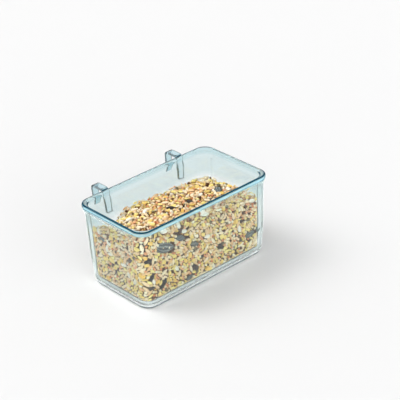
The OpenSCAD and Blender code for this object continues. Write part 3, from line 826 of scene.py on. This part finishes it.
def husk_material(name, pale, deep, germ, germ_amount=0.5, speck_amount=0.3, pit_depth=0.00012):
    """Principled material of one kind of grain, coloured by the husk group."""
    material, tree = new_material(name)
    place = add_node(tree, "ShaderNodeTexCoord").outputs["Object"]
    tone = add_node(tree, "ShaderNodeAttribute", {"attribute_name": "grain_tone"}).outputs["Fac"]
    own = add_node(tree, "ShaderNodeAttribute", {"attribute_name": "grain_own"}).outputs["Vector"]
    painted_shade = add_node(tree, "ShaderNodeAttribute", {"attribute_name": "grain_painted_shade"}).outputs["Fac"]
    skin = add_node(tree, "ShaderNodeGroup", {"node_tree": husk}, Place=place, Own=own, Tone=tone, Pale=pale,
                    Deep=deep, Germ=germ, Germ_amount=germ_amount, Speck_amount=speck_amount, Sunk=painted_shade)
    pits = add_node(tree, "ShaderNodeBump", Height=skin.outputs["Height"], Strength=0.5, Distance=pit_depth)
    shader = add_node(tree, "ShaderNodeBsdfPrincipled", Base_Color=skin.outputs["Color"],
                      Roughness=skin.outputs["Roughness"], Specular_IOR_Level=0.4,
                      Normal=pits.outputs["Normal"])
    add_node(tree, "ShaderNodeOutputMaterial", Surface=shader.outputs["BSDF"])
    return material


# White millet, the bulk of the mix: round grains in a hard, smooth husk, cream to straw, with a small brown
# germ end. They lie loose, as all the grains do.
white_millet = lay_grains("white_millet", grain_shape(3, 8, 0.9))
finish_grains(white_millet, husk_material("white_millet", colour(255, 250, 226), colour(244, 206, 138),
                                          colour(200, 150, 92)), "white_millet")

# Red millet: as the white one, in a slimmer husk that runs from orange to brick red. It fills the gaps
# between the larger grains.
red_millet = lay_grains("red_millet", grain_shape(3, 8, 0.95))
finish_grains(red_millet, husk_material("red_millet", colour(255, 206, 158), colour(228, 142, 86),
                                        colour(160, 74, 36)), "red_millet")

# Canary seed: a slim spindle with two sharp ends, in a glossy husk of straw yellow. It comes to rest flat
# against the wall and on top of the feed.
canary_seed = lay_grains("canary_seed", grain_shape(4, 6, 1.15))
finish_grains(canary_seed, husk_material("canary_seed", colour(255, 244, 164), colour(238, 198, 104),
                                         colour(186, 134, 66)), "canary_seed")

# Oat groats: oats with their hulls taken off in a mill. The bare grain is blunt and dull cream, with a
# crease along one side.
oat_groats = lay_grains("oat_groats", grain_shape(5, 7, 0.7, 0.9, 1, 0.12))
finish_grains(oat_groats, husk_material("oat_groats", colour(255, 246, 218), colour(242, 194, 134),
                                        colour(204, 160, 106), 0.35), "oat_groats")

# Hemp: a small nut shaped as an egg. Its thin, brittle shell is grey-green to brown, marbled with a darker
# net.
hemp_seed = lay_grains("hemp_seed", grain_shape(4, 8, 0.85))
finish_grains(hemp_seed, husk_material("hemp_seed", colour(150, 136, 102), colour(104, 92, 66),
                                       colour(66, 58, 44), 0.4, 0.9), "hemp_seed")

# Buckwheat: the whole grain in its hull, with three sharp corners. The hull is dull brown and tough as
# paper board.
buckwheat = lay_grains("buckwheat", grain_shape(4, 9, 0.9, 0.85, 3, 0.22))
finish_grains(buckwheat, husk_material("buckwheat", colour(124, 82, 50), colour(74, 48, 32),
                                       colour(46, 32, 24), 0.3, 0.6), "buckwheat")

# Cracked corn: kernels of maize broken in a mill. The bits are flat-sided and waxy yellow, with white starch
# where they broke.
cracked_corn = lay_grains("cracked_corn", grain_shape(3, 6, 0.5), 0.34, smooth=False)
finish_grains(cracked_corn, husk_material("cracked_corn", colour(255, 238, 150), colour(248, 202, 100),
                                          colour(252, 236, 188), 0.8, 0.4), "cracked_corn")

# Safflower: a blunt drop with four faint ridges, in a hard, smooth shell that is white but for the brown of
# its pointed end.
safflower_seed = lay_grains("safflower_seed", grain_shape(6, 8, 0.75, 0.8, 4, 0.05))
finish_grains(safflower_seed, husk_material("safflower_seed", colour(254, 251, 240), colour(242, 234, 214),
                                            colour(176, 150, 112), 0.4, 0.15),
              "safflower_seed")

# Striped sunflower: a large, flat drop in a woody shell, dark grey with pale stripes that run from end to
# end. A few lie against the wall.
striped_sunflower_seed = lay_grains("striped_sunflower_seed", grain_shape(9, 14, 0.85, 0.8))
striped_sunflower, tree = new_material("striped_sunflower")
own = add_node(tree, "ShaderNodeAttribute", {"attribute_name": "grain_own"}).outputs["Vector"]
place = add_node(tree, "ShaderNodeTexCoord").outputs["Object"]
parts = add_node(tree, "ShaderNodeSeparateXYZ", Vector=own)
waver = add_node(tree, "ShaderNodeTexNoise", Vector=place, Scale=500.0, Detail=2.0).outputs["Fac"]
round_angle = maths("ARCTAN2", parts.outputs["Z"], parts.outputs["Y"])
stripe = maths("SINE", times(maths("MULTIPLY_ADD", waver, 0.5, round_angle), 9.0), 0.0)
shell_colour = mixed(ramp(stripe, 0.25, 0.8), colour(84, 92, 92), colour(150, 156, 150))
ribs = add_node(tree, "ShaderNodeBump", Height=stripe, Strength=0.4, Distance=0.0002)
shell = add_node(tree, "ShaderNodeBsdfPrincipled", Base_Color=shell_colour, Roughness=0.62,
                 Normal=ribs.outputs["Normal"])
add_node(tree, "ShaderNodeOutputMaterial", Surface=shell.outputs["BSDF"])
finish_grains(striped_sunflower_seed, striped_sunflower, "striped_sunflower_seed")

# Black sunflower: as the striped one, smaller, in a thinner shell that is finely ribbed and near black. A few
# lie against the wall.
black_sunflower_seed = lay_grains("black_sunflower_seed", grain_shape(8, 12, 0.85, 0.8))
finish_grains(black_sunflower_seed, husk_material("black_sunflower", colour(66, 56, 52), colour(36, 32, 34),
                                                  colour(120, 112, 104), 0.25, 0.2),
              "black_sunflower_seed")

# The feed's heart.
# The same grain, packed behind the outer layer, where little light comes. It is one mottled body that fills
# the cup inside that layer, in a brown darker than the grains' own: painted shade that shows only as dark
# gaps.
heart_inset = 3.2
high_drop = 3.3
edge_drop = 1.6


def heart_ring(inset, height):
    """Outline of the heart at a height: the rounded rectangle that lies an inset inside the wall."""
    out = plain_in(height * mm) / mm - inset
    return swept_round(np.array([[out * mm, 0.0]]), 4, corner_in)[:, 0]


side_ring = heart_ring(heart_inset, fill_h)
middle = np.array([0, cup_y, 0])
low_z = floor_z / mm + heart_inset
levels = []
for share, lift in ((0.9, 0.0), (1.0, 2.0)):
    ring = middle + (side_ring - middle) * share
    levels.append(np.column_stack([ring[:, :2], np.full(len(ring), (low_z + lift) * mm)]))
for share in (1.0, 0.9, 0.75, 0.6, 0.45, 0.3, 0.15):
    ring = middle + (side_ring - middle) * share
    drop = high_drop + (edge_drop if share == 1.0 else 0)
    height = bed_height(ring[:, 0] / mm, (ring[:, 1] - cup_y) / mm) - drop
    levels.append(np.column_stack([ring[:, :2], height * mm]))
levels = np.stack(levels, axis=1)
turns, steps = levels.shape[:2]
ends = np.arange(turns) * steps
heart_faces = ring_faces(turns, steps).tolist() + [ends[::-1].tolist(), (ends + steps - 1).tolist()]
feed_heart = new_piece("feed_heart", levels.reshape(-1, 3), heart_faces)
seed_mix, tree = new_material("seed_mix")
place = add_node(tree, "ShaderNodeTexCoord").outputs["Object"]
clumps = add_node(tree, "ShaderNodeTexVoronoi", Vector=place, Scale=420.0)
# Painted shade: these browns are darker than any grain's own colour.
mottle = add_node(tree, "ShaderNodeMix", {"data_type": "RGBA"}, _0=clumps.outputs["Distance"],
                  _6=colour(120, 84, 50), _7=colour(62, 40, 24))
shade = add_node(tree, "ShaderNodeBump", Height=clumps.outputs["Distance"], Strength=0.8, Distance=0.001)
mass = add_node(tree, "ShaderNodeBsdfPrincipled", Base_Color=mottle.outputs[2], Roughness=0.9,
                Normal=shade.outputs["Normal"])
add_node(tree, "ShaderNodeOutputMaterial", Surface=mass.outputs["BSDF"])
finish_grains(feed_heart, seed_mix, "seed_bed")


# The floor and the light.
# A plain pale floor that runs out of view, under a soft sky that is brightest up behind the cup. Seen
# through the plastic, the floor is nearly as white as the background.
floor_half = 6.0
floor_white = 0.70
floor_through = 0.9
through_level = 0.97
sky_even = 0.35
sky_ring = 10.0
sky_ring_power = 9.0
lobes = [(6.5, 16.0, (-0.40, 0.46, 0.79)), (2.7, 3.0, (-0.4, -0.9, 0.1))]


def seen_directly(tree):
    """1 for rays that come from the camera, straight or by way of gloss and glass only, and 0 for rays that
    light a matt surface."""
    path = add_node(tree, "ShaderNodeLightPath").outputs
    gloss = add_node(tree, "ShaderNodeMath", {"operation": "MAXIMUM"}, _0=path["Is Glossy Ray"],
                     _1=path["Is Transmission Ray"])
    seen = add_node(tree, "ShaderNodeMath", {"operation": "MAXIMUM"}, _0=path["Is Camera Ray"],
                    _1=gloss.outputs[0])
    clean = add_node(tree, "ShaderNodeMath", {"operation": "LESS_THAN"}, _0=path["Diffuse Depth"], _1=0.5)
    return add_node(tree, "ShaderNodeMath", {"operation": "MULTIPLY"}, _0=seen.outputs[0],
                    _1=clean.outputs[0]).outputs[0]


floor_material, tree = new_material("floor")
paper = add_node(tree, "ShaderNodeBsdfDiffuse", Color=(floor_white, floor_white, floor_white, 1))
bright = add_node(tree, "ShaderNodeEmission", Strength=through_level)
through = times(seen_directly(tree), add_node(tree, "ShaderNodeLightPath").outputs["Is Transmission Ray"])
seen_paper = add_node(tree, "ShaderNodeMixShader", _0=times(through, floor_through), _1=paper.outputs[0],
                      _2=bright.outputs[0])
add_node(tree, "ShaderNodeOutputMaterial", Surface=seen_paper.outputs[0])
floor = new_piece("floor", [(-floor_half, -floor_half, 0), (floor_half, -floor_half, 0),
                            (floor_half, floor_half, 0), (-floor_half, floor_half, 0)], [(0, 1, 2, 3)],
                  floor_material)

world = bpy.data.worlds.new("sky")
bpy.context.scene.world = world
world.use_nodes = True
tree = world.node_tree
tree.nodes.clear()
way = add_node(tree, "ShaderNodeTexCoord").outputs["Generated"]
over = add_node(tree, "ShaderNodeSeparateXYZ", Vector=way)
near_level = maths("POWER", less(1.0, over.outputs["Z"]), sky_ring_power)
sky_level = maths("MULTIPLY_ADD", near_level, sky_ring, sky_even)
for strength, power, lobe_way in lobes:
    unit_way = (np.array(lobe_way) / np.linalg.norm(lobe_way)).tolist()
    toward = add_node(tree, "ShaderNodeVectorMath", {"operation": "DOT_PRODUCT"}, _0=way, _1=unit_way)
    lobe = maths("POWER", larger(toward.outputs["Value"], 0.0), power)
    sky_level = maths("MULTIPLY_ADD", lobe, strength, sky_level)
light = add_node(tree, "ShaderNodeBackground", Strength=sky_level)
white = add_node(tree, "ShaderNodeBackground", Strength=1.0)
for background in (light, white):
    background.inputs["Color"].default_value = (1, 1, 1, 1)
either = add_node(tree, "ShaderNodeMixShader", _0=seen_directly(tree), _1=light.outputs[0],
                  _2=white.outputs[0])
add_node(tree, "ShaderNodeOutputWorld", Surface=either.outputs[0])

scene = bpy.context.scene
scene.view_settings.view_transform = "Standard"
scene.cycles.max_bounces = 32
scene.cycles.diffuse_bounces = 12
scene.cycles.glossy_bounces = 12
scene.cycles.transmission_bounces = 16
